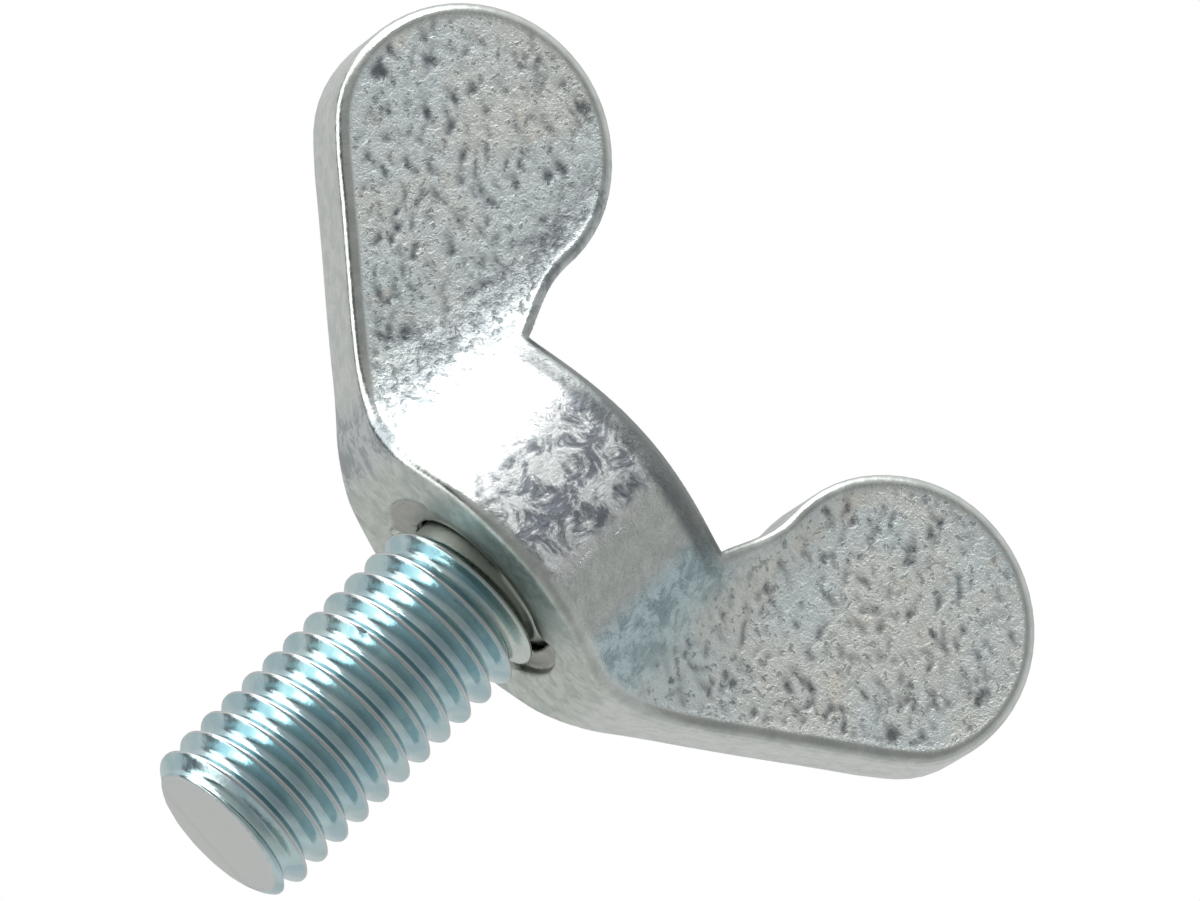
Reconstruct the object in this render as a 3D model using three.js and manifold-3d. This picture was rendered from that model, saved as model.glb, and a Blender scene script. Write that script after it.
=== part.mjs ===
// Wing screw, M8 x 16: a cast wing head with a threaded stud screwed into it and locked.
// Millimetres. +Z runs up the screw's axis, out of the head. The wings lie along X.
// The origin is the centre of the seat, the flat ring under the head around the stud.

import * as THREE from "three";
import { mergeVertices } from "three/addons/utils/BufferGeometryUtils.js";
import Module from "manifold-3d";

const wasm = await Module();
wasm.setup();

// Driving dimensions.
const PITCH = 1.25;
const CREST_RADIUS = 3.88;
const ROOT_RADIUS = 3.25;
const CREST_FLAT = 0.16;
const FLANK_ANGLE = Math.PI / 6;
const CREST_LEVEL = -1.9;
const CREST_AZIMUTH = -1.65;
const THREAD_STEPS = 20;
const THREAD_GAP = 0.25;

const STUD_LENGTH = 15.45;
const STUD_TOP = 7.9;
const TIP_FLAT_RADIUS = 2.9;
const TIP_ROUND = 1.05;

const HUB_HEIGHT = 8.35;
const SEAT_RADIUS = 7.2;
const HUB_TOP_RADIUS = 6.2;
const SEAT_EDGE = 0.45;
const BLEND_RADIUS = 3.6;
const BLEND_TOP = 12;

const WING_THICKNESS = 4.2;
const WING_EDGE = 0.65;
const LOBE_RADIUS = 6.3;
const LOBE_X = 13.3;
const LOBE_Z = 12.4;
const LOBE_END = THREE.MathUtils.degToRad(184);
const LOBE_FLAT = 0.38;
const LOBE_FLAT_AZIMUTH = THREE.MathUtils.degToRad(-49);
const LOBE_FLAT_SPREAD = THREE.MathUtils.degToRad(20);
const WING_LIFT = 0.25;
const NECK_X = 6.0;
const WING_FOOT_X = 7.1;
const FOOT_ROUND = 1.6;
const OUTER_EDGE_START = THREE.MathUtils.degToRad(35);
const OUTER_EDGE_END = THREE.MathUtils.degToRad(38);

const COUNTERSINK_RADIUS = 4.5;
const COUNTERSINK_DEPTH = 0.8;
const TOP_CHAMFER = 0.45;
const POCKET_RADIUS = 4.8;
const POCKET_HALF_ANGLE = THREE.MathUtils.degToRad(34);
const POCKET_DEPTH = 0.6;

const ARC_STEPS = 12;
const ROUND_STEPS = 48;
const TRIM_INSET = 0.06;

function castZinc() {
  return new THREE.MeshStandardMaterial({ color: 0xa9b0ae, roughness: 0.42, metalness: 0.9 });
}

function blueZinc() {
  return new THREE.MeshStandardMaterial({ color: 0xa4bec4, roughness: 0.24, metalness: 1.0 });
}

// A closed three.js geometry as a solid that can be joined and cut.
function toSolid(geometry) {
  geometry.deleteAttribute("normal");
  geometry.deleteAttribute("uv");
  const merged = mergeVertices(geometry, 1e-5);
  return new wasm.Manifold(new wasm.Mesh({
    numProp: 3,
    vertProperties: new Float32Array(merged.attributes.position.array),
    triVerts: new Uint32Array(merged.index.array),
  }));
}

// The largest body of a cut solid, without the loose slivers that crossing cutters leave.
function withoutBurrs(solid) {
  const bodies = solid.decompose();
  return bodies.reduce((best, body) => (body.volume() > best.volume() ? body : best));
}

function toMesh(solid, name, material) {
  const cut = solid.getMesh();
  const geometry = new THREE.BufferGeometry();
  geometry.setAttribute("position", new THREE.BufferAttribute(cut.vertProperties, 3));
  geometry.setIndex(new THREE.BufferAttribute(cut.triVerts, 1));
  geometry.computeVertexNormals();
  const mesh = new THREE.Mesh(geometry, material);
  mesh.name = name;
  return mesh;
}

// A solid of revolution about Z from (radius, height) pairs that start and end on the axis.
function turned(profile, segments = ROUND_STEPS) {
  const points = profile.map(([radius, height]) => new THREE.Vector2(radius, height));
  const geometry = new THREE.LatheGeometry(points, segments);
  geometry.rotateX(Math.PI / 2);
  return toSolid(geometry);
}

function arc(x, y, radius, from, to, clockwise = false, steps = ARC_STEPS) {
  const curve = new THREE.EllipseCurve(x, y, radius, radius, from, to, clockwise);
  return curve.getPoints(steps);
}

// A right-hand threaded rod from one height to another, every surface moved out by a clearance.
// Its skin is one helical grid: each step round the axis holds the four corners of the thread's
// section, and the root strip joins a turn to the next. A fan closes each end past the cut.
function threadedRod(bottom, top, clearance) {
  const depth = CREST_RADIUS - ROOT_RADIUS;
  const root = ROOT_RADIUS + clearance;
  const crest = CREST_RADIUS + clearance;
  const crestHalf = CREST_FLAT / 2 + clearance * (1 / Math.cos(FLANK_ANGLE) - Math.tan(FLANK_ANGLE));
  const rootHalf = crestHalf + depth * Math.tan(FLANK_ANGLE);
  const section = [[root, -rootHalf], [crest, -crestHalf], [crest, crestHalf], [root, rootHalf]];
  const firstTurn = Math.floor((bottom - CREST_LEVEL) / PITCH) - 2;
  const lastTurn = Math.ceil((top - CREST_LEVEL) / PITCH) + 2;
  const steps = (lastTurn - firstTurn) * THREAD_STEPS;

  const positions = [];
  for (let step = 0; step <= steps; step += 1) {
    const turn = firstTurn + step / THREAD_STEPS;
    const angle = CREST_AZIMUTH + 2 * Math.PI * turn;
    for (const [radius, offset] of section) {
      const height = CREST_LEVEL + PITCH * turn + offset;
      positions.push(radius * Math.cos(angle), radius * Math.sin(angle), height);
    }
  }
  const corner = (step, side) => step * section.length + side;
  const below = corner(steps, 3) + 1;
  const above = below + 1;
  positions.push(0, 0, bottom - 4 * PITCH);
  positions.push(0, 0, top + 4 * PITCH);

  const index = [];
  const quad = (a, b, c, d) => index.push(a, b, c, a, c, d);
  for (let step = 0; step < steps; step += 1) {
    for (let side = 0; side < 3; side += 1) {
      quad(corner(step, side), corner(step + 1, side), corner(step + 1, side + 1), corner(step, side + 1));
    }
    const next = step + THREAD_STEPS;
    if (next < steps) {
      quad(corner(step, 3), corner(step + 1, 3), corner(next + 1, 0), corner(next, 0));
    }
  }
  const turnSteps = Array.from({ length: THREAD_STEPS + 1 }, (_, i) => i);
  const lowerRim = [...turnSteps.map((i) => corner(i, 0)), corner(0, 3), corner(0, 2), corner(0, 1)];
  const lastStart = steps - THREAD_STEPS;
  const upperRim = [
    ...turnSteps.map((i) => corner(lastStart + i, 3)),
    corner(steps, 2),
    corner(steps, 1),
    corner(steps, 0),
  ];
  lowerRim.forEach((a, i) => index.push(below, lowerRim[(i + 1) % lowerRim.length], a));
  upperRim.forEach((a, i) => index.push(above, a, upperRim[(i + 1) % upperRim.length]));

  const geometry = new THREE.BufferGeometry();
  geometry.setAttribute("position", new THREE.Float32BufferAttribute(positions, 3));
  geometry.setIndex(index);
  const wide = crest + 1;
  const ends = turned([[0, bottom], [wide, bottom], [wide, top], [0, top]]);
  return toSolid(geometry).intersect(ends);
}

// The stud: full thread, a rounded lead-in at the tip and a small chamfer at the hidden end.
function threadedStud() {
  const tip = -STUD_LENGTH;
  const lead = arc(
    TIP_FLAT_RADIUS, tip + TIP_ROUND, 1, -Math.PI / 2, 0, false, 5,
  ).map((p) => [
    TIP_FLAT_RADIUS + (p.x - TIP_FLAT_RADIUS) * (CREST_RADIUS + 0.02 - TIP_FLAT_RADIUS),
    tip + TIP_ROUND + (p.y - tip - TIP_ROUND) * TIP_ROUND,
  ]);
  const outer = lead[lead.length - 1][0];
  const envelope = turned([
    [0, tip],
    ...lead,
    [outer, STUD_TOP - TOP_CHAMFER],
    [outer - TOP_CHAMFER, STUD_TOP],
    [0, STUD_TOP],
  ]);
  return threadedRod(tip - 1, STUD_TOP + 1, 0).intersect(envelope);
}

// The round end of one wing, slightly flattened on its lower outer side.
function lobeOutline(lift, inset) {
  const start = OUTER_EDGE_END - Math.PI / 2;
  const steps = 2 * ARC_STEPS;
  return Array.from({ length: steps + 1 }, (_, i) => {
    const angle = start + (LOBE_END - start) * (i / steps);
    const flat = LOBE_FLAT * Math.exp(-(((angle - LOBE_FLAT_AZIMUTH) / LOBE_FLAT_SPREAD) ** 2));
    const radius = LOBE_RADIUS - flat - inset;
    return new THREE.Vector2(LOBE_X + radius * Math.cos(angle), LOBE_Z + lift + radius * Math.sin(angle));
  });
}

// Half of the head's front outline, round one wing from its foot to its neck at the hub's top.
function wingOutline(lift, inset) {
  const lobe = lobeOutline(lift, inset);
  const corner = new THREE.Vector2(WING_FOOT_X - inset, 0);
  const start = new THREE.Vector2(Math.cos(OUTER_EDGE_START), Math.sin(OUTER_EDGE_START));
  const end = new THREE.Vector2(Math.cos(OUTER_EDGE_END), Math.sin(OUTER_EDGE_END));
  const seat = new THREE.Vector2(corner.x - FOOT_ROUND, 0);
  const foot = corner.clone().addScaledVector(start, FOOT_ROUND);
  const footRound = new THREE.CubicBezierCurve(
    seat,
    seat.clone().lerp(corner, 0.6),
    foot.clone().lerp(corner, 0.6),
    foot,
  ).getPoints(5);
  const bend = foot.distanceTo(lobe[0]) / 3;
  const outerEdge = new THREE.CubicBezierCurve(
    foot,
    foot.clone().addScaledVector(start, bend),
    lobe[0].clone().addScaledVector(end, -bend),
    lobe[0],
  ).getPoints(6);
  const tail = lobe[lobe.length - 1];
  const neck = new THREE.Vector2(NECK_X + inset, HUB_HEIGHT);
  const innerEdge = new THREE.CubicBezierCurve(
    tail,
    new THREE.Vector2(tail.x, tail.y - 1.4),
    new THREE.Vector2(neck.x + 0.35, neck.y + 1.1),
    neck,
  ).getPoints(6);
  return [...footRound, ...outerEdge.slice(1), ...lobe.slice(1), ...innerEdge.slice(1)];
}

// Both wings, joined below the seat by a given drop and across the hub's top.
function headOutline(inset, drop) {
  const right = wingOutline(-WING_LIFT, inset);
  const left = wingOutline(WING_LIFT, inset).map((p) => new THREE.Vector2(-p.x, p.y)).reverse();
  const seat = right[0].x;
  const below = drop > 0 ? [new THREE.Vector2(-seat, -drop), new THREE.Vector2(seat, -drop)] : [];
  return new THREE.Shape([...right, ...left, ...below]);
}

// Centres a solid swept along Z from the front outline on the wings' plane and stands it up.
function standUp(geometry, depth) {
  geometry.translate(0, 0, -depth / 2);
  geometry.rotateX(Math.PI / 2);
  return toSolid(geometry);
}

// The flat wings in one plate with rounded edges.
function wingPlate() {
  const depth = WING_THICKNESS - 2 * WING_EDGE;
  return standUp(new THREE.ExtrudeGeometry(headOutline(0, 0), {
    depth,
    bevelThickness: WING_EDGE,
    bevelSize: WING_EDGE,
    bevelOffset: -WING_EDGE,
    bevelSegments: 3,
  }), depth);
}

// What the hub is trimmed to: a deep block of the front outline, just inside the wings' edges.
function hubTrim() {
  const depth = 4 * SEAT_RADIUS;
  const outline = headOutline(TRIM_INSET, 1);
  return standUp(new THREE.ExtrudeGeometry(outline, { depth, bevelEnabled: false }), depth);
}

// The hub seen from above at one height: a round boss flowing into both wings.
function hubPlan(radius) {
  const half = WING_THICKNESS / 2 - TRIM_INSET;
  const blendY = half + BLEND_RADIUS;
  const blendX = Math.sqrt((radius + BLEND_RADIUS) ** 2 - blendY ** 2);
  const meet = Math.atan2(blendY, blendX);
  const end = LOBE_X - 3;
  const front = [
    new THREE.Vector2(end, half),
    ...arc(blendX, blendY, BLEND_RADIUS, -Math.PI / 2, -Math.PI + meet, true, 6),
    ...arc(0, 0, radius, meet, Math.PI - meet).slice(1, -1),
    ...arc(-blendX, blendY, BLEND_RADIUS, -meet, -Math.PI / 2, true, 6),
    new THREE.Vector2(-end, half),
  ];
  return [...front, ...front.map((p) => new THREE.Vector2(-p.x, -p.y))];
}

// Joins plans of equal point counts, one per height, into a closed solid.
function loft(plans, heights) {
  const count = plans[0].length;
  const positions = plans.flatMap((plan, level) => plan.flatMap((p) => [p.x, p.y, heights[level]]));
  const index = [];
  for (let level = 0; level < plans.length - 1; level += 1) {
    for (let i = 0; i < count; i += 1) {
      const a = level * count + i;
      const b = level * count + ((i + 1) % count);
      index.push(a, b, b + count, a, b + count, a + count);
    }
  }
  const last = (plans.length - 1) * count;
  THREE.ShapeUtils.triangulateShape(plans[0], []).forEach(([a, b, c]) => index.push(c, b, a));
  THREE.ShapeUtils.triangulateShape(plans[plans.length - 1], [])
    .forEach(([a, b, c]) => index.push(last + a, last + b, last + c));
  const geometry = new THREE.BufferGeometry();
  geometry.setAttribute("position", new THREE.Float32BufferAttribute(positions, 3));
  geometry.setIndex(index);
  return toSolid(geometry);
}

// The tapered hub with its blends, cut to the head's front outline.
function hub() {
  const taper = (SEAT_RADIUS - HUB_TOP_RADIUS) / HUB_HEIGHT;
  const heights = [0, SEAT_EDGE * 0.3, SEAT_EDGE, HUB_HEIGHT, BLEND_TOP];
  const edges = [SEAT_EDGE, SEAT_EDGE * 0.3, 0, 0, 0];
  const plans = heights.map((height, i) => hubPlan(SEAT_RADIUS - taper * height - edges[i]));
  return loft(plans, heights).intersect(hubTrim());
}

// The tapped through hole, with a countersink at the seat and a chamfer at the top.
function tappedHole() {
  const mouth = COUNTERSINK_RADIUS;
  const upper = ROOT_RADIUS + THREAD_GAP;
  const seatCone = turned([
    [0, -1], [mouth, -1], [mouth, 0], [upper, COUNTERSINK_DEPTH], [0, COUNTERSINK_DEPTH],
  ]);
  const topCone = turned([
    [0, HUB_HEIGHT - 2 * TOP_CHAMFER],
    [upper, HUB_HEIGHT - 2 * TOP_CHAMFER],
    [mouth, HUB_HEIGHT],
    [mouth, HUB_HEIGHT + 1],
    [0, HUB_HEIGHT + 1],
  ]);
  return threadedRod(-1, HUB_HEIGHT + 1, THREAD_GAP).add(seatCone).add(topCone);
}

// A shallow pocket in the seat beside the stud: a part ring about the axis.
function sidePocket(azimuth) {
  const from = azimuth - POCKET_HALF_ANGLE;
  const to = azimuth + POCKET_HALF_ANGLE;
  const outline = new THREE.Shape([
    ...arc(0, 0, ROOT_RADIUS, from, to),
    ...arc(0, 0, POCKET_RADIUS, to, from, true),
  ]);
  const pocket = new THREE.ExtrudeGeometry(outline, { depth: 1 + POCKET_DEPTH, bevelEnabled: false });
  pocket.translate(0, 0, -1);
  return toSolid(pocket);
}

function wingHead() {
  let solid = wingPlate().add(hub()).subtract(tappedHole());
  for (const azimuth of [0, Math.PI]) {
    solid = solid.subtract(sidePocket(azimuth));
  }
  return withoutBurrs(solid);
}

const wingScrew = new THREE.Group();
wingScrew.add(toMesh(wingHead(), "wing_head", castZinc()));
wingScrew.add(toMesh(threadedStud(), "threaded_stud", blueZinc()));

export default wingScrew;
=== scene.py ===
import math

import bmesh
import bpy
import numpy as np
from mathutils import Matrix, Vector, noise


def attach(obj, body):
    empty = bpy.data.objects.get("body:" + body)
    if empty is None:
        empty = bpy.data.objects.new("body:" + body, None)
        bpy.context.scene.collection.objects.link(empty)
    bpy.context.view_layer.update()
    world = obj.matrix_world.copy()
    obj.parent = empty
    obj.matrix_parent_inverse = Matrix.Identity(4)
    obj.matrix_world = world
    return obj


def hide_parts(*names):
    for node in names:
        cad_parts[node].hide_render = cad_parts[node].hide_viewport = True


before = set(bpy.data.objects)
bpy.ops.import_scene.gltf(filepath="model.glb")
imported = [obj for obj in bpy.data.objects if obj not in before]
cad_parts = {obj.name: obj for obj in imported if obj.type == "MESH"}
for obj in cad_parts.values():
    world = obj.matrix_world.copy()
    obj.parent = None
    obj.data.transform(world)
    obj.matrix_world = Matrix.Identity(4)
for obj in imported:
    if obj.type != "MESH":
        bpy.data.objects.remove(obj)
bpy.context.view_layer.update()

# ---- Sizes in millimetres -------------------------------------------------------------------
MM = 0.001

PITCH = 1.25
CREST_RADIUS = 3.88
ROOT_RADIUS = 3.25
FLANK_SLOPE = math.tan(math.radians(30))
CREST_LEVEL = -1.9
CREST_AZIMUTH = -1.65
STUD_LENGTH = 15.45
STUD_TOP = 7.9
TIP_FLAT_RADIUS = 2.9
TIP_ROUND = 1.05

HUB_HEIGHT = 8.35
SEAT_RADIUS = 7.2
HUB_TOP_RADIUS = 6.2
HUB_TAPER = (SEAT_RADIUS - HUB_TOP_RADIUS) / HUB_HEIGHT
BLEND_RADIUS = 3.6

WING_HALF = 2.1
WING_EDGE = 0.62
SEAT_EDGE = 0.42
HUB_TOP_EDGE = 0.7
LOBE_RADIUS = 6.3
LOBE_X = 13.3
LOBE_Z = 12.4
LOBE_END = math.radians(184)
HEAD_TILT = 0.0188
NECK_X = 6.0
WING_FOOT_X = 7.1
FOOT_ROUND = 1.6
OUTER_EDGE_START = math.radians(35)
OUTER_EDGE_END = math.radians(38)
LOBE_FLAT = 0.38

COUNTERSINK_RADIUS = 4.25
SEAT_CONE_SLOPE = 2.2
TOP_CONE_SLOPE = 1.1
THREAD_CLEARANCE = 0.25
GROOVE_FLAT_HALF = 0.22
BORE_RADIUS = ROOT_RADIUS + THREAD_CLEARANCE
BORE_EDGE = 0.1
MOUTH_RADIUS = 3.4
MOUTH_START, MOUTH_END = 0.4, 0.55
POCKET_RADIUS = 4.75
POCKET_HALF_ANGLE = math.radians(34)
POCKET_DEPTH = 0.5
LEFT_POCKET_PART = 0.45
POCKET_EDGE = 0.22


def smooth(low, high, value):
    """Rises from 0 to 1 as value goes from low to high, with no corners."""
    t = np.clip((value - low) / (high - low), 0.0, 1.0)
    return t * t * (3.0 - 2.0 * t)


# ---- The head's front outline ---------------------------------------------------------------
def bezier(a, b, c, d, count):
    """Points along a cubic curve with these four control points."""
    t = np.linspace(0.0, 1.0, count)[:, None]
    return (1 - t) ** 3 * a + 3 * (1 - t) ** 2 * t * b + 3 * (1 - t) * t**2 * c + t**3 * d


def wing_outline():
    """One wing in (x, z), anticlockwise from its foot on the seat to its neck at the hub's top."""
    angles = np.linspace(OUTER_EDGE_END - math.pi / 2, LOBE_END, 41)
    centre = np.array([LOBE_X, LOBE_Z])
    flat = LOBE_FLAT * np.exp(-(((angles + 0.85) / 0.35) ** 2))
    radius = (LOBE_RADIUS - flat)[:, None]
    lobe = centre + radius * np.stack([np.cos(angles), np.sin(angles)], 1)
    start = np.array([math.cos(OUTER_EDGE_START), math.sin(OUTER_EDGE_START)])
    end = np.array([math.cos(OUTER_EDGE_END), math.sin(OUTER_EDGE_END)])
    corner = np.array([WING_FOOT_X, 0.0])
    foot = corner + start * FOOT_ROUND
    seat = corner - np.array([FOOT_ROUND, 0.0])
    bend = np.linalg.norm(lobe[0] - foot) / 3
    rounding = bezier(seat, seat + (corner - seat) * 0.6, foot + (corner - foot) * 0.6, foot, 8)
    outer = bezier(foot, foot + start * bend, lobe[0] - end * bend, lobe[0], 10)
    neck = np.array([NECK_X, HUB_HEIGHT])
    tail = lobe[-1]
    inner = bezier(tail, tail - [0.0, 1.4], neck + [0.35, 1.1], neck, 10)
    return np.concatenate([rounding, outer[1:], lobe[1:], inner[1:]])


def head_outline():
    """Both wings and the hub between them as one closed outline in (x, z)."""
    right = wing_outline()
    return np.concatenate([right, right[::-1] * [-1, 1]])


def outline_distance(outline, x, z):
    """Signed distance in the wings' plane from points to the outline, negative inside."""
    nearest = np.full(x.shape, 1e9)
    inside = np.zeros(x.shape, bool)
    for (ax, az), (bx, bz) in zip(outline, np.roll(outline, -1, 0)):
        ex, ez = bx - ax, bz - az
        px, pz = x - ax, z - az
        t = np.clip((px * ex + pz * ez) / (ex * ex + ez * ez), 0.0, 1.0)
        nearest = np.minimum(nearest, (px - t * ex) ** 2 + (pz - t * ez) ** 2)
        if az != bz:
            crosses = (az > z) != (bz > z)
            inside ^= crosses & (x < ax + (z - az) * ex / ez)
    return np.where(inside, -1.0, 1.0) * np.sqrt(nearest)


# ---- The head as a distance field -----------------------------------------------------------
def blend_join(a, b, radius):
    """Union of two fields with a concave fillet of this radius where they meet."""
    fillet = np.hypot(np.maximum(radius - a, 0), np.maximum(radius - b, 0))
    return np.maximum(radius, np.minimum(a, b)) - fillet


def blend_cut(a, b, radius):
    """Intersection of two fields with its edge rounded to this radius."""
    edge = np.hypot(np.maximum(radius + a, 0), np.maximum(radius + b, 0))
    return np.minimum(-radius, np.maximum(a, b)) + edge


def thread_radius(x, y, z):
    """Radius of the hole at a point: a plain collar at its mouth, then the internal thread."""
    turn = (np.arctan2(y, x) - CREST_AZIMUTH) / (2 * math.pi)
    phase = (z - CREST_LEVEL) / PITCH - turn
    offset = np.abs(phase - np.round(phase)) * PITCH
    deepest = CREST_RADIUS + THREAD_CLEARANCE
    groove = deepest - np.maximum(offset - GROOVE_FLAT_HALF, 0) / FLANK_SLOPE
    mouth = 1 - smooth(MOUTH_START, MOUTH_END, z)
    return np.maximum(groove, BORE_RADIUS) * (1 - mouth) + MOUTH_RADIUS * mouth


def side_pockets(x, y, z):
    """Two shallow part rings sunk in the seat beside the stud, negative inside them.

    The left one is the shallower.
    """
    radius = np.hypot(x, y)
    side = (np.arctan2(np.abs(y), np.abs(x)) - POCKET_HALF_ANGLE) * radius
    depth = POCKET_DEPTH * np.where(x < 0, LEFT_POCKET_PART, 1.0)
    return np.maximum(np.maximum(radius - POCKET_RADIUS, side), z - depth)


def head_field(x, y, z, across):
    """Signed distance to the head's metal. across is the distance to the outline at (x, z).

    Slanted fields are scaled down to keep them near true distances.
    """
    boss = np.hypot(x, y) - (SEAT_RADIUS - HUB_TAPER * np.minimum(z, 12))
    body = blend_join(boss, np.abs(y) - WING_HALF, BLEND_RADIUS)
    hub_edge = SEAT_EDGE + (HUB_TOP_EDGE - SEAT_EDGE) * smooth(4.0, 7.0, z)
    edge = hub_edge + (WING_EDGE - hub_edge) * smooth(5.0, 8.0, np.abs(x))
    solid = blend_cut(body, across, edge)
    radius = np.hypot(x, y)
    bore = (radius - thread_radius(x, y, z)) * 0.87
    seat_cone = (radius - COUNTERSINK_RADIUS + z * SEAT_CONE_SLOPE) * 0.4
    below_top = HUB_HEIGHT - np.minimum(z, HUB_HEIGHT + 0.4)
    top_cone = (radius - COUNTERSINK_RADIUS + below_top * TOP_CONE_SLOPE) * 0.67
    hole = np.minimum(np.minimum(bore, seat_cone), top_cone)
    pocketed = blend_cut(solid, -side_pockets(x, y, z), POCKET_EDGE)
    return blend_cut(pocketed, -hole, BORE_EDGE)


def surface_net(field, low, step):
    """Quads round the zero level of a sampled field, one vertex in each cell it crosses."""
    inside = field < 0
    shape = np.array(field.shape) - 1
    total = np.zeros((*shape, 3))
    count = np.zeros(shape)
    base = np.stack(np.meshgrid(*[np.arange(n) for n in shape], indexing="ij"), -1)
    for axis in range(3):
        u, v = [k for k in range(3) if k != axis]
        first = np.take(field, range(field.shape[axis] - 1), axis)
        second = np.take(field, range(1, field.shape[axis]), axis)
        crosses = (first < 0) != (second < 0)
        with np.errstate(divide="ignore", invalid="ignore"):
            part = np.where(crosses, first / (first - second), 0.0)
        for du in (0, 1):
            for dv in (0, 1):
                window = [slice(None)] * 3
                window[u] = slice(du, du + shape[u])
                window[v] = slice(dv, dv + shape[v])
                hit = crosses[tuple(window)]
                count += hit
                total[..., axis] += np.where(hit, part[tuple(window)], 0)
                total[..., u] += hit * du
                total[..., v] += hit * dv
    used = count > 0
    number = np.full(shape, -1)
    number[used] = np.arange(used.sum())
    points = low + step * (base[used] + total[used] / count[used][:, None])
    quads = []
    for axis in range(3):
        u, v = (axis + 1) % 3, (axis + 2) % 3
        window = [slice(1, -1)] * 3
        window[axis] = slice(0, -1)
        after = [slice(1, -1)] * 3
        after[axis] = slice(1, None)
        here, there = inside[tuple(window)], inside[tuple(after)]
        cells = np.argwhere(here != there)
        leaving = here[tuple(cells.T)]
        cells[:, u] += 1
        cells[:, v] += 1
        back_u, back_v = np.zeros(3, int), np.zeros(3, int)
        back_u[u], back_v[v] = 1, 1
        ring = [cells - back_u - back_v, cells - back_v, cells, cells - back_u]
        ids = np.stack([number[tuple(c.T)] for c in ring], 1)
        quads.append(np.where(leaving[:, None], ids, ids[:, ::-1]))
    return points, np.concatenate(quads)


def head_surface(step):
    """Points and quads of the head, drawn in from the sampled field onto the exact one."""
    outline = head_outline()
    low = np.array([-20.4, -8.0, -0.8])
    high = np.array([20.4, 8.0, 19.8])
    size = np.ceil((high - low) / step).astype(int)
    xs, ys, zs = [low[k] + step * np.arange(size[k]) for k in range(3)]
    across = outline_distance(outline, *np.meshgrid(xs, zs, indexing="ij"))
    x, y, z = xs[:, None, None], ys[None, :, None], zs[None, None, :]
    field = head_field(*np.broadcast_arrays(x, y, z), across[:, None, :])
    points, quads = surface_net(field, low, step)

    def value(p):
        return head_field(p[:, 0], p[:, 1], p[:, 2], outline_distance(outline, p[:, 0], p[:, 2]))

    for _ in range(2):
        here = value(points)
        change = [value(points + 0.02 * e) - value(points - 0.02 * e) for e in np.eye(3)]
        slope = np.stack(change, 1) / 0.04
        steep = np.maximum((slope**2).sum(1), 0.3)
        move = slope * (here / steep)[:, None]
        reach = np.linalg.norm(move, axis=1, keepdims=True)
        points = points - move * np.minimum(1, 0.4 * step / np.maximum(reach, 1e-9))
    return points, quads


def tilted(points):
    """The casting sits a little crooked on the stud: its left wing is the higher one."""
    return points - np.stack([0 * points[:, 0], 0 * points[:, 0], HEAD_TILT * points[:, 0]], 1)


def vertex_normals(points, quads):
    """Area-weighted normals of a quad mesh."""
    a, b, c, d = [points[quads[:, k]] for k in range(4)]
    face = np.cross(c - a, d - b)
    normals = np.zeros_like(points)
    for k in range(4):
        np.add.at(normals, quads[:, k], face)
    return normals / np.maximum(np.linalg.norm(normals, axis=1, keepdims=True), 1e-12)


# ---- Cast texture ---------------------------------------------------------------------------
PIT_COUNT = 900
PIT_SEED = 7
PIT_REACH = 1.6
FACE_SINK = 0.085
TOP_LINE_DEPTH = 0.016
TOP_LINE_SPACING = 0.26
# Larger dents on the front of the wings: x, z, size and depth.
DENTS = (
    (-18.3, 11.6, 0.3, 0.16),
    (-11.34, 17.28, 0.3, 0.1),
    (-9.64, 4.7, 0.35, 0.1),
    (16.6, 8.9, 0.3, 0.1),
)


def lattice_noise(points, size, seed):
    """Smooth noise from -1 to 1 at every point, with features of about this size in mm."""
    shift = Vector((seed * 17.3, seed * 5.1, seed * 9.7))
    return np.array([noise.noise(Vector(p) / size + shift) for p in points.tolist()])


def pit_depth(x, z, outline, seed):
    """Depth in mm of the pits on one side of the wings, less the burrs pushed up beside them."""
    rng = np.random.default_rng(seed)
    depth = np.zeros(len(x))
    placed = 0
    while placed < PIT_COUNT:
        cx, cz = rng.uniform(-19.5, 19.5), rng.uniform(0.5, 19.0)
        size = rng.uniform(0.1, 0.16) * (1 + 0.5 * rng.random() ** 3)
        stretch, turn = rng.uniform(1.0, 2.6), rng.normal(-0.7, 0.7)
        strength = rng.uniform(0.015, 0.05)
        if abs(cx) < 5.0 or outline_distance(outline, np.array([cx]), np.array([cz]))[0] > -0.8:
            continue
        placed += 1
        near = np.nonzero((np.abs(x - cx) < PIT_REACH) & (np.abs(z - cz) < PIT_REACH))[0]
        dx, dz = x[near] - cx, z[near] - cz
        along = (dx * math.cos(turn) + dz * math.sin(turn)) / (size * stretch)
        across = (dz * math.cos(turn) - dx * math.sin(turn)) / size
        hole = np.exp(-(along**2) - across**2)
        burr = np.exp(-(along**2) - ((across - 1.5) / 0.7) ** 2)
        depth[near] += strength * (hole - 0.55 * burr)
    return depth


def head_masks(points, normals, depth_in):
    """How far each point belongs to the wing faces, hub front, pockets and hub top edge, 0 to 1."""
    x, y, z = points.T
    radius = np.hypot(x, y)
    flat = smooth(0.75, 0.95, np.abs(normals[:, 1])) * smooth(5.0, 7.5, np.abs(x))
    face = flat * smooth(0.46, 0.68, depth_in)
    front = smooth(5.0, 5.6, radius) * smooth(0.3, 0.9, depth_in) * (1 - smooth(7.5, 9.5, np.abs(x)))
    pocket = (1 - smooth(POCKET_RADIUS - 0.1, POCKET_RADIUS + 0.1, radius)) * (1 - smooth(0.9, 1.1, z))
    shoulder = smooth(6.8, 7.3, z) * (1 - smooth(6.6, 7.6, radius)) * smooth(5.4, 5.8, radius)
    return {"face": face, "front": front * (1 - face), "pocket": pocket, "shoulder": shoulder}


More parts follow.
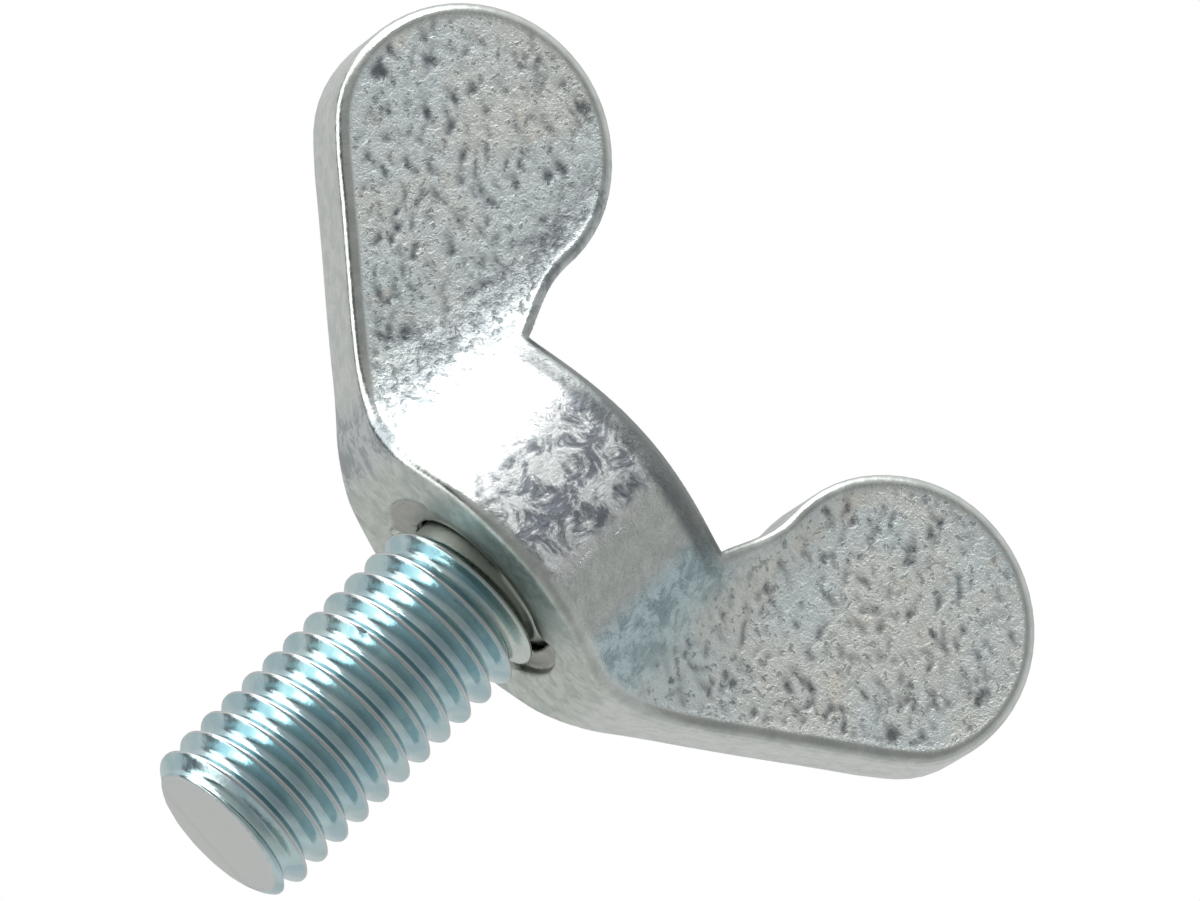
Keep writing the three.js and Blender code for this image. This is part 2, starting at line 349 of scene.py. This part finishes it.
def wing_pits(x, y, z, outline):
    """Depth of the pits on both sides of the wings, and of the larger dents on the front."""
    pits = np.where(y < 0, pit_depth(x, z, outline, PIT_SEED), pit_depth(x, z, outline, PIT_SEED + 1))
    for dent_x, dent_z, size, deep in DENTS:
        away = ((x - dent_x) ** 2 + (z - dent_z) ** 2) / size**2
        pits = pits + np.where(y < 0, deep * np.exp(-away), 0)
    return pits


def cast_skin(points, quads):
    """Moves the head's smooth points to the cast surface; gives the masks its material reads."""
    outline = head_outline()
    normals = vertex_normals(points, quads)
    x, y, z = points.T
    masks = head_masks(points, normals, -outline_distance(outline, x, z))
    face, front = masks["face"], masks["front"]
    pits = wing_pits(x, y, z, outline)
    broad = lattice_noise(points, 3.2, 4)
    coarse = lattice_noise(points, 0.95, 1)
    middle = lattice_noise(points, 0.42, 2)
    fine = lattice_noise(points, 0.24, 3)
    rough = FACE_SINK + 0.01 * coarse + 0.012 * middle + 0.008 * fine + pits
    worn = 0.045 * coarse + 0.03 * middle + 0.008 * fine + 0.03 * broad
    lines = TOP_LINE_DEPTH * np.sin(2 * math.pi * z / TOP_LINE_SPACING) * smooth(-0.2, 0.3, broad + 0.3)
    plain = 0.012 * broad * smooth(4.8, 5.4, np.hypot(x, y)) + masks["shoulder"] * lines
    sink = face * rough + front * worn + (1 - face) * (1 - front) * plain
    # Where the pits are, for the painted shade that the material puts in them.
    masks["pit"] = np.clip(face * pits * 16, 0, 1)
    return points - normals * sink[:, None], masks


# ---- The stud -------------------------------------------------------------------------------
TURN_STEPS = 120
THREAD_POINTS = 21
CREST_HALF = 0.05
SEAM_DEPTH = 0.03
# The ridge fades out at this turn and comes back inside the head.
RIDGE_END_TURN = 1.33
RIDGE_BACK_TURN = 2.0
# Nicks in the crest: angle round the axis, height, size and depth.
NICKS = ((-2.13, -5.83, 0.14, 0.16), (-1.2, -3.1, 0.1, 0.08), (-1.75, -9.4, 0.1, 0.1))
END_ROUND = 0.06
END_RINGS = 16


def soft_min(a, b, width):
    """The smaller of two values, rounded over where they are about as small as each other."""
    near = np.maximum(width - np.abs(a - b), 0) / width
    return np.minimum(a, b) - near * near * width / 4


def thread_section(offset):
    """Radius of the rolled thread at a distance along the axis from the crest's middle."""
    flank = CREST_RADIUS - (np.abs(offset) - CREST_HALF) / FLANK_SLOPE
    crest = soft_min(flank, CREST_RADIUS, 0.07) - SEAM_DEPTH * np.exp(-((offset / 0.035) ** 2))
    return -soft_min(-crest, -ROOT_RADIUS, 0.16)


def stud_skin():
    """The stud's threaded skin past both ends: one helical grid of points, quads and a mask."""
    first = math.floor((-STUD_LENGTH - CREST_LEVEL) / PITCH) - 1
    last = math.ceil((STUD_TOP - CREST_LEVEL) / PITCH) + 1
    steps = (last - first) * TURN_STEPS
    turn = (first + np.arange(steps + 1) / TURN_STEPS)[:, None]
    spread = np.linspace(-1, 1, THREAD_POINTS, endpoint=False)[None, :]
    offset = np.sign(spread) * np.abs(spread) ** 1.35 * PITCH / 2
    angle = CREST_AZIMUTH + 2 * math.pi * turn + 0 * offset
    height = CREST_LEVEL + PITCH * turn + offset
    fading = smooth(RIDGE_END_TURN - 0.03, RIDGE_END_TURN + 0.05, turn)
    missing = fading * (1 - smooth(RIDGE_BACK_TURN, RIDGE_BACK_TURN + 0.1, turn))
    radius = thread_section(offset) * (1 - missing) + ROOT_RADIUS * missing
    for nick_angle, nick_height, size, deep in NICKS:
        around = (np.mod(angle - nick_angle + math.pi, 2 * math.pi) - math.pi) * CREST_RADIUS
        radius = radius - deep * np.exp(-(around**2 + (height - nick_height) ** 2) / size**2)
    rise = np.clip((height + STUD_LENGTH) / TIP_ROUND, 0, 1)
    lead = TIP_FLAT_RADIUS + (CREST_RADIUS + 0.05 - TIP_FLAT_RADIUS) * np.sqrt(1 - (1 - rise) ** 2)
    radius = soft_min(radius, lead, 0.12)
    points = np.stack([radius * np.cos(angle), radius * np.sin(angle), height], -1).reshape(-1, 3)
    points[:, :2] *= 1 + 0.0022 * lattice_noise(points, 1.1, 5)[:, None]
    coat = smooth(0.96, 1.12, turn + 0.05 * offset) * 0.5 + smooth(-0.35, -0.1, height) * 0.5
    number = np.arange(points.shape[0]).reshape(steps + 1, THREAD_POINTS)
    a, b = number[:-1], number[1:]
    within = np.stack([a[:, :-1], b[:, :-1], b[:, 1:], a[:, 1:]], -1).reshape(-1, 4)
    low, high = number[: -TURN_STEPS - 1], number[1:-TURN_STEPS]
    low_next, high_next = number[TURN_STEPS:-1], number[TURN_STEPS + 1 :]
    between = np.stack([low[:, -1], high[:, -1], high_next[:, 0], low_next[:, 0]], -1)
    return points, np.concatenate([within, between]), coat.reshape(-1)


def tip_depth(x, y):
    """Depth of the sheared tip face below its rim: a shallow hollow with a step along one chord."""
    step = smooth(1.5, 1.7, y - 0.1 * x)
    return -0.035 * step + 0.012 * np.hypot(x, y)


def close_end(bm, level, outward, face_depth):
    """Closes one cut end of the stud with rings that roll over its edge onto its face."""
    rim = [v for v in bm.verts if abs(v.co.z - level) < 1e-6]
    rim.sort(key=lambda v: math.atan2(v.co.y, v.co.x))
    count = len(rim)
    before = rim
    for ring in range(1, END_RINGS + 1):
        part = ring / END_RINGS
        scale = 1 - 0.035 * min(ring, 2) / 2 - 0.9 * max(0, part - 2 / END_RINGS)
        # The first ring rolls over the rim; the others lie on the face.
        rise = END_ROUND * (0.75 if ring == 1 else 1.0)
        after = []
        for v in rim:
            x, y = v.co.x * scale, v.co.y * scale
            height = level + outward * (rise - (face_depth(x, y) if ring > 1 else 0))
            after.append(bm.verts.new((x, y, height)))
        for i in range(count):
            j = (i + 1) % count
            corners = (before[i], after[i], after[j], before[j])
            bm.faces.new(corners if outward < 0 else corners[::-1])
        before = after
    bm.faces.new(before if outward > 0 else before[::-1])


def stud_mesh():
    """The threaded skin cut square at both ends and closed, with the coat mask on its points."""
    points, quads, coat = stud_skin()
    bm = bmesh.new()
    layer = bm.verts.layers.float.new("coat")
    verts = [bm.verts.new(p) for p in points.tolist()]
    for v, value in zip(verts, coat.tolist()):
        v[layer] = value
    for quad in quads.tolist():
        bm.faces.new([verts[k] for k in quad])
    ends = ((-STUD_LENGTH + END_ROUND, -1), (STUD_TOP - END_ROUND, 1))
    for level, outward in ends:
        everything = bm.verts[:] + bm.edges[:] + bm.faces[:]
        bmesh.ops.bisect_plane(
            bm, geom=everything, plane_co=(0, 0, level), plane_no=(0, 0, outward), clear_outer=True
        )
    close_end(bm, ends[0][0], -1, tip_depth)
    close_end(bm, ends[1][0], 1, lambda x, y: 0.0)
    bmesh.ops.scale(bm, vec=(MM, MM, MM), verts=bm.verts)
    mesh = bpy.data.meshes.new("threaded_stud_surface")
    bm.to_mesh(mesh)
    bm.free()
    return mesh


# ---- Pieces ---------------------------------------------------------------------------------
HEAD_STEP = 0.15


def head_mesh():
    """The cast head, with the masks its material reads on its points."""
    points, quads = head_surface(HEAD_STEP)
    points, masks = cast_skin(points, quads)
    mesh = bpy.data.meshes.new("wing_head_surface")
    mesh.from_pydata((tilted(points) * MM).tolist(), [], quads.tolist())
    for name, values in masks.items():
        mesh.attributes.new(name, "FLOAT", "POINT").data.foreach_set("value", values)
    return mesh


def add_piece(name, mesh, material, node):
    """A visible piece that rides on the one body and stands for one node of the CAD."""
    mesh.materials.append(material)
    mesh.shade_smooth()
    piece = bpy.data.objects.new(name, mesh)
    bpy.context.scene.collection.objects.link(piece)
    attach(piece, "root")
    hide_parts(node)
    return piece


# ---- Materials ------------------------------------------------------------------------------
class Graph:
    """A node tree that is wired up as its nodes are made."""

    def __init__(self, tree):
        self.tree = tree
        tree.nodes.clear()

    def add(self, kind, inputs=None, **settings):
        node = self.tree.nodes.new(kind)
        for name, value in settings.items():
            setattr(node, name, value)
        for name, value in (inputs or {}).items():
            if isinstance(value, bpy.types.NodeSocket):
                self.tree.links.new(value, node.inputs[name])
            else:
                node.inputs[name].default_value = value
        return node

    def noise(self, coords, size, detail=3.0, rough=0.55, warp=0.0):
        """Noise with features of about this size in mm."""
        inputs = {"Vector": coords, "Scale": 1 / (size * MM), "Detail": detail,
                  "Roughness": rough, "Distortion": warp}
        return self.add("ShaderNodeTexNoise", inputs).outputs["Fac"]

    def attribute(self, name):
        return self.add("ShaderNodeAttribute", attribute_name=name).outputs["Fac"]

    def math(self, operation, a, b=0.0, c=0.0):
        node = self.add("ShaderNodeMath", operation=operation)
        for socket, value in zip(node.inputs, (a, b, c)):
            if isinstance(value, bpy.types.NodeSocket):
                self.tree.links.new(value, socket)
            else:
                socket.default_value = value
        return node.outputs[0]

    def range(self, value, low, high, to_low=0.0, to_high=1.0):
        inputs = {"Value": value, "From Min": low, "From Max": high, "To Min": to_low, "To Max": to_high}
        return self.add("ShaderNodeMapRange", inputs, interpolation_type="SMOOTHSTEP").outputs["Result"]

    def mix(self, amount, a, b):
        node = self.add("ShaderNodeMix", data_type="RGBA")
        for socket, value in zip((node.inputs[0], node.inputs[6], node.inputs[7]), (amount, a, b)):
            if isinstance(value, bpy.types.NodeSocket):
                self.tree.links.new(value, socket)
            else:
                socket.default_value = value
        return node.outputs[2]

    def blend(self, amount, a, b):
        """A plain number between a and b."""
        return self.math("MULTIPLY_ADD", amount, self.math("SUBTRACT", b, a), a)


def wing_colour(graph, coords, masks, grain, smudge):
    """Plain grey on the edges; cool and warm patches on the wing faces, with painted shade in small dark
    ticks and in the pits.
    """
    broad = graph.noise(coords, 5.0, 3.0, 0.5, 0.4)
    patch = graph.noise(coords, 1.6, 5.0, 0.62, 0.6)
    edges = graph.mix(graph.range(smudge, 0.35, 0.65), (0.55, 0.59, 0.56, 1), (0.66, 0.69, 0.66, 1))
    cool = graph.mix(graph.range(broad, 0.42, 0.6), (0.88, 0.91, 0.87, 1), (0.82, 0.90, 0.90, 1))
    warm = graph.mix(graph.range(patch, 0.55, 0.7, 0.0, 0.5), cool, (0.92, 0.86, 0.76, 1))
    cast = graph.mix(masks["face"], edges, warm)
    # Painted shade: dark ticks on the small dents that the bump presses into the faces, and near-black in
    # the pits.
    painted_tick_shade = graph.math("MULTIPLY", graph.range(grain, 0.57, 0.66, 0.0, 0.55), masks["face"])
    ticked = graph.mix(painted_tick_shade, cast, (0.25, 0.28, 0.28, 1))
    return graph.mix(graph.math("MULTIPLY", masks["pit"], 0.8), ticked, (0.1, 0.12, 0.14, 1))


def hub_colour(graph, place, painted_sheen_and_smoother_finish, painted_dark_band, smudge, blotch):
    """Round the hub from its left: a near-white painted highlight, a painted dark reflection band broken
    up by blotches, matt grey, bluish blend.
    """
    # Painted dark reflection: dark slate blotched with lighter grey, for the dark band on the hub's front.
    painted_dark_reflection = graph.mix(graph.range(blotch, 0.42, 0.56), (0.19, 0.21, 0.235, 1), (0.70, 0.73, 0.73, 1))
    # Painted highlight: near-white on the hub's left front, giving way to the painted dark band.
    painted_highlight_side = graph.mix(painted_dark_band, (0.92, 0.94, 0.94, 1), painted_dark_reflection)
    matt = graph.mix(graph.range(smudge, 0.3, 0.7), (0.50, 0.54, 0.52, 1), (0.62, 0.65, 0.62, 1))
    bluish = graph.mix(graph.range(blotch, 0.42, 0.56), (0.34, 0.46, 0.50, 1), (0.62, 0.76, 0.80, 1))
    right_blend = graph.range(place["X"], 4.2 * MM, 5.4 * MM)
    return graph.mix(right_blend, graph.mix(painted_sheen_and_smoother_finish, matt, painted_highlight_side), bluish)


def cast_zinc():
    """Satin zinc plating on the casting: blotchy and pitted on the wings, with painted shade in the pits
    and ticks and at the left wing's root; smoother on the hub's front, with a painted highlight, a painted
    dark reflection band and painted shade on its top shoulder.
    """
    material = bpy.data.materials.new("cast_zinc")
    material.use_nodes = True
    graph = Graph(material.node_tree)
    coords = graph.add("ShaderNodeTexCoord").outputs["Object"]
    place = graph.add("ShaderNodeSeparateXYZ", {"Vector": coords}).outputs
    masks = {name: graph.attribute(name) for name in ("face", "front", "pit", "pocket", "shoulder")}
    face, front = masks["face"], masks["front"]
    grain = graph.noise(coords, 0.32, 5.0, 0.6, 0.3)
    speck = graph.noise(coords, 0.12, 3.0, 0.6)
    smudge = graph.noise(coords, 0.8, 4.0, 0.6, 0.5)
    blotch = graph.noise(coords, 1.3, 8.0, 0.72, 0.7)

    # Across the head with a wavering edge, for the bands that follow one another along X: a painted
    # highlight, a painted dark reflection band and painted shade at the left wing's root, with a smoother
    # finish on the hub's left front.
    wander = graph.math("MULTIPLY_ADD", smudge, 2.6 * MM, graph.math("SUBTRACT", place["X"], 1.3 * MM))
    # The hub's left front: smoother, and painted with a highlight and a dark reflection band.
    painted_sheen_and_smoother_finish = graph.range(wander, 2.3 * MM, 1.2 * MM)
    # The painted dark reflection band, to the right of the painted highlight.
    painted_dark_band = graph.math("MULTIPLY", painted_sheen_and_smoother_finish, graph.range(wander, -4.0 * MM, -2.6 * MM))
    # Painted shade at the left wing's root beside the hub, which keeps the painted highlight from
    # spreading onto the wing.
    neck_start = graph.range(wander, -9.6 * MM, -8.4 * MM)
    neck = graph.math("MULTIPLY", neck_start, graph.range(wander, -5.9 * MM, -7.0 * MM))
    seat = graph.range(place["Z"], 0.26 * MM, 0.08 * MM)

    wings = wing_colour(graph, coords, masks, grain, smudge)
    hub = hub_colour(graph, place, painted_sheen_and_smoother_finish, painted_dark_band, smudge, blotch)
    # Dark slate with blotches for the painted shade at the left wing's root.
    painted_root_shade = graph.mix(graph.range(blotch, 0.42, 0.56), (0.24, 0.27, 0.29, 1), (0.55, 0.60, 0.61, 1))
    dusty = graph.mix(graph.range(smudge, 0.35, 0.65), (0.54, 0.59, 0.54, 1), (0.72, 0.76, 0.71, 1))
    fronted = graph.mix(front, wings, hub)
    necked = graph.mix(graph.math("MULTIPLY", neck, 0.8), fronted, painted_root_shade)
    # Painted shade: a dark band on the hub's top shoulder, below its rim.
    painted_shoulder_shade = graph.mix(graph.math("MULTIPLY", masks["shoulder"], 0.8), necked, (0.14, 0.155, 0.16, 1))
    specked = graph.mix(graph.range(speck, 0.62, 0.72, 0.0, 0.3), painted_shoulder_shade, (0.3, 0.31, 0.31, 1))
    seated = graph.mix(graph.math("MULTIPLY", seat, 0.9), specked, dusty)
    colour = graph.mix(graph.math("MULTIPLY", masks["pocket"], 0.85), seated, (0.46, 0.46, 0.42, 1))

    satin = graph.blend(face, 0.17, 0.45)
    polished = graph.blend(front, satin, graph.blend(painted_sheen_and_smoother_finish, 0.3, 0.15))
    dulled = graph.blend(graph.math("MAXIMUM", seat, masks["pocket"]), polished, 0.45)
    roughness = graph.math("ADD", dulled, graph.range(grain, 0.35, 0.7, -0.05, 0.1))

    pricks = graph.math("MULTIPLY", graph.range(grain, 0.55, 0.68, 0.0, -0.9), face)
    # Lumps rise in the bump on the hub's front where the painted dark reflection band lies.
    front_dark_band = graph.math("MULTIPLY", front, painted_dark_band)
    lumps = graph.math("MULTIPLY", graph.math("MULTIPLY", blotch, 2.4), front_dark_band)
    fine = graph.math("MULTIPLY_ADD", speck, 0.5, grain)
    relief = graph.math("ADD", fine, graph.math("ADD", pricks, lumps))
    strength = graph.blend(graph.math("MAXIMUM", face, front), 0.12, 0.85)
    bump = graph.add("ShaderNodeBump", {"Strength": strength, "Distance": 0.1 * MM, "Height": relief})
    shader = graph.add("ShaderNodeBsdfPrincipled", {
        "Base Color": colour, "Metallic": 1.0, "Roughness": roughness, "Normal": bump.outputs[0],
    })
    graph.add("ShaderNodeOutputMaterial", {"Surface": shader.outputs[0]})
    return material


def blue_zinc():
    """Bright zinc with a blue passivation on the rolled thread, grey where the head's coat ran on."""
    material = bpy.data.materials.new("blue_zinc")
    material.use_nodes = True
    graph = Graph(material.node_tree)
    coords = graph.add("ShaderNodeTexCoord").outputs["Object"]
    coat = graph.attribute("coat")
    patch = graph.noise(coords, 1.8, 4.0, 0.55, 0.4)
    grain = graph.noise(coords, 0.22, 4.0, 0.6)
    place = graph.add("ShaderNodeSeparateXYZ", {"Vector": coords}).outputs
    across = graph.math("MULTIPLY", place["X"], place["X"])
    radius = graph.math("SQRT", graph.math("MULTIPLY_ADD", place["Y"], place["Y"], across))
    crest = graph.range(radius, (CREST_RADIUS - 0.07) * MM, (CREST_RADIUS - 0.02) * MM)
    tip = graph.range(place["Z"], (-STUD_LENGTH + 0.02) * MM, (-STUD_LENGTH + 0.09) * MM, 1.0, 0.0)

    blue = graph.mix(graph.range(patch, 0.4, 0.62), (0.42, 0.58, 0.62, 1), (0.52, 0.66, 0.67, 1))
    worn = graph.mix(graph.math("MULTIPLY", crest, 0.8), blue, (0.62, 0.60, 0.60, 1))
    greyed = graph.mix(graph.range(coat, 0.0, 0.5), worn, (0.62, 0.68, 0.63, 1))
    browned = graph.mix(graph.range(coat, 0.55, 0.95), greyed, (0.56, 0.61, 0.56, 1))
    colour = graph.mix(tip, browned, (0.62, 0.64, 0.62, 1))
    roughness = graph.math("ADD", graph.blend(coat, 0.13, 0.4), graph.range(grain, 0.35, 0.7, -0.03, 0.08))
    bump = graph.add("ShaderNodeBump", {"Strength": 0.18, "Distance": 0.05 * MM, "Height": grain})
    shader = graph.add("ShaderNodeBsdfPrincipled", {
        "Base Color": colour, "Metallic": 1.0, "Roughness": roughness, "Normal": bump.outputs[0],
    })
    graph.add("ShaderNodeOutputMaterial", {"Surface": shader.outputs[0]})
    return material


# ---- Camera ---------------------------------------------------------------------------------
IMAGE_WIDTH, IMAGE_HEIGHT = 1200, 901
CAMERA_DISTANCE = 0.769
VIEW_WIDTH = 0.05008
CAMERA_BELOW = math.radians(19.8)
CAMERA_TURN = math.radians(3.4)
CAMERA_ROLL = math.radians(45.94)
SEAT_RIGHT, SEAT_UP = -0.005432, -0.005788


def view_axes():
    """The screw's own right and up as the camera sees them, and the way that it looks."""
    cos_turn, sin_turn = math.cos(CAMERA_TURN), math.sin(CAMERA_TURN)
    cos_below, sin_below = math.cos(CAMERA_BELOW), math.sin(CAMERA_BELOW)
    right = Vector((cos_turn, -sin_turn, 0))
    up = Vector((-sin_turn * sin_below, -cos_turn * sin_below, cos_below))
    forward = Vector((sin_turn * cos_below, cos_turn * cos_below, sin_below))
    return right, up, forward


def image_axes():
    """The image's right and up, and the way the camera looks: the screw leans to the right."""
    right, up, forward = view_axes()
    image_right = right * math.cos(CAMERA_ROLL) + up * math.sin(CAMERA_ROLL)
    image_up = up * math.cos(CAMERA_ROLL) - right * math.sin(CAMERA_ROLL)
    return image_right, image_up, forward


def add_camera():
    """Looks up at the seat from the front."""
    image_right, image_up, forward = image_axes()
    data = bpy.data.cameras.new("camera")
    data.sensor_width = 36
    data.lens = 36 * CAMERA_DISTANCE / VIEW_WIDTH
    data.clip_start, data.clip_end = 0.05, 20
    camera = bpy.data.objects.new("camera", data)
    place = -image_right * SEAT_RIGHT - image_up * SEAT_UP - forward * CAMERA_DISTANCE
    turn = Matrix((image_right, image_up, -forward)).transposed().to_4x4()
    camera.matrix_world = Matrix.Translation(place) @ turn
    bpy.context.scene.collection.objects.link(camera)
    bpy.context.scene.camera = camera


# ---- Stage and light ------------------------------------------------------------------------
FLOOR_LEVEL = -1.3


def add_world():
    """A white studio to the camera. Reflections see panels above and to the left, dim elsewhere.

    The left panel is narrow and has a dark gap on each side of it.
    """
    world = bpy.data.worlds.new("studio")
    bpy.context.scene.world = world
    world.use_nodes = True
    graph = Graph(world.node_tree)
    image_right, image_up, forward = image_axes()
    direction = graph.add("ShaderNodeTexCoord").outputs["Generated"]

    def along(axis):
        node = graph.add("ShaderNodeVectorMath", operation="DOT_PRODUCT")
        graph.tree.links.new(direction, node.inputs[0])
        node.inputs[1].default_value = axis
        return node.outputs["Value"]

    def band(value, outer_low, inner_low, inner_high, outer_high):
        rising = graph.range(value, outer_low, inner_low)
        return graph.math("MULTIPLY", rising, graph.range(value, outer_high, inner_high))

    toward = along(-forward)
    side = graph.math("SUBTRACT", 1.0, graph.math("ABSOLUTE", toward))
    top = graph.range(along(image_up * 0.98 - image_right * 0.18), 0.76, 0.93)
    top_box = graph.math("MULTIPLY", top, band(toward, -0.8, -0.4, 0.22, 0.44))
    left = graph.range(along(image_up * 0.2 - image_right * 0.98), 0.7, 0.85)
    left_box = graph.math("MULTIPLY", left, band(toward, -0.14, -0.04, 0.24, 0.34))
    left_gap = graph.math("MULTIPLY", left, band(toward, 0.28, 0.4, 0.55, 0.66))
    left_back = graph.math("MULTIPLY", left, band(toward, -0.42, -0.32, -0.18, -0.08))
    broad = graph.range(along(image_up * 0.6 - image_right * 0.8), 0.3, 0.85)
    wall = graph.math("MULTIPLY", broad, band(toward, -0.5, 0.0, 0.15, 0.55))
    around = graph.range(side, 0.3, 0.9, 0.33, 0.56)
    above = graph.range(along(image_up), 0.2, 0.9, 0.0, 0.2)
    behind = graph.range(toward, 0.0, -0.5, 0.0, 0.34)
    fill = graph.math("ADD", graph.math("ADD", around, above), behind)
    panels = graph.math("MULTIPLY_ADD", top_box, 1.05, graph.math("MULTIPLY", left_box, 1.3))
    gaps = graph.math("MULTIPLY_ADD", graph.math("MAXIMUM", left_gap, left_back), -0.75, 1.0)
    plain = graph.math("MULTIPLY", graph.math("MULTIPLY_ADD", wall, 0.55, fill), gaps)
    level = graph.math("ADD", plain, panels)
    camera_sees = graph.add("ShaderNodeLightPath").outputs["Is Camera Ray"]
    strength = graph.blend(camera_sees, level, 1.0)
    background = graph.add("ShaderNodeBackground", {"Color": (1, 1, 1, 1), "Strength": strength})
    graph.add("ShaderNodeOutputWorld", {"Surface": background.outputs[0]})


def add_softbox(name, azimuth, climb, distance, size, power):
    """An area light aimed at the screw from an azimuth and climb about the camera's line."""
    right, up, forward = view_axes()
    out = -forward * math.cos(azimuth) + right * math.sin(azimuth)
    place = (out * math.cos(climb) + up * math.sin(climb)) * distance
    data = bpy.data.lights.new(name, "AREA")
    data.shape = "RECTANGLE"
    data.size, data.size_y = size
    data.energy = power
    light = bpy.data.objects.new(name, data)
    light.location = place
    light.rotation_mode = "QUATERNION"
    light.rotation_quaternion = (-place).to_track_quat("-Z", "Y")
    bpy.context.scene.collection.objects.link(light)


def add_floor():
    """A plain pale sheet far below the screw, curling up a little at its rim."""
    bm = bmesh.new()
    bmesh.ops.create_grid(bm, x_segments=24, y_segments=24, size=3.0)
    for v in bm.verts:
        v.co.z = FLOOR_LEVEL + 0.05 * max(0.0, v.co.length - 2.0) ** 2
    mesh = bpy.data.meshes.new("floor")
    bm.to_mesh(mesh)
    bm.free()
    material = bpy.data.materials.new("pale_floor")
    material.use_nodes = True
    graph = Graph(material.node_tree)
    coords = graph.add("ShaderNodeTexCoord").outputs["Object"]
    tone = graph.range(graph.noise(coords, 400.0, 2.0), 0.3, 0.7)
    colour = graph.mix(tone, (0.86, 0.86, 0.86, 1), (0.9, 0.9, 0.9, 1))
    shader = graph.add("ShaderNodeBsdfPrincipled", {"Base Color": colour, "Roughness": 0.9})
    graph.add("ShaderNodeOutputMaterial", {"Surface": shader.outputs[0]})
    mesh.materials.append(material)
    floor = bpy.data.objects.new("floor", mesh)
    bpy.context.scene.collection.objects.link(floor)
    # The metal mirrors the studio's panels and not the floor.
    floor.visible_glossy = False


bpy.context.scene.view_settings.view_transform = "Standard"
add_camera()
add_world()
add_softbox("key", math.radians(-74), math.radians(38), 0.9, (0.35, 0.35), 1.5)
add_floor()
add_piece("wing_head_cast", head_mesh(), cast_zinc(), "wing_head")
add_piece("threaded_stud_rolled", stud_mesh(), blue_zinc(), "threaded_stud")
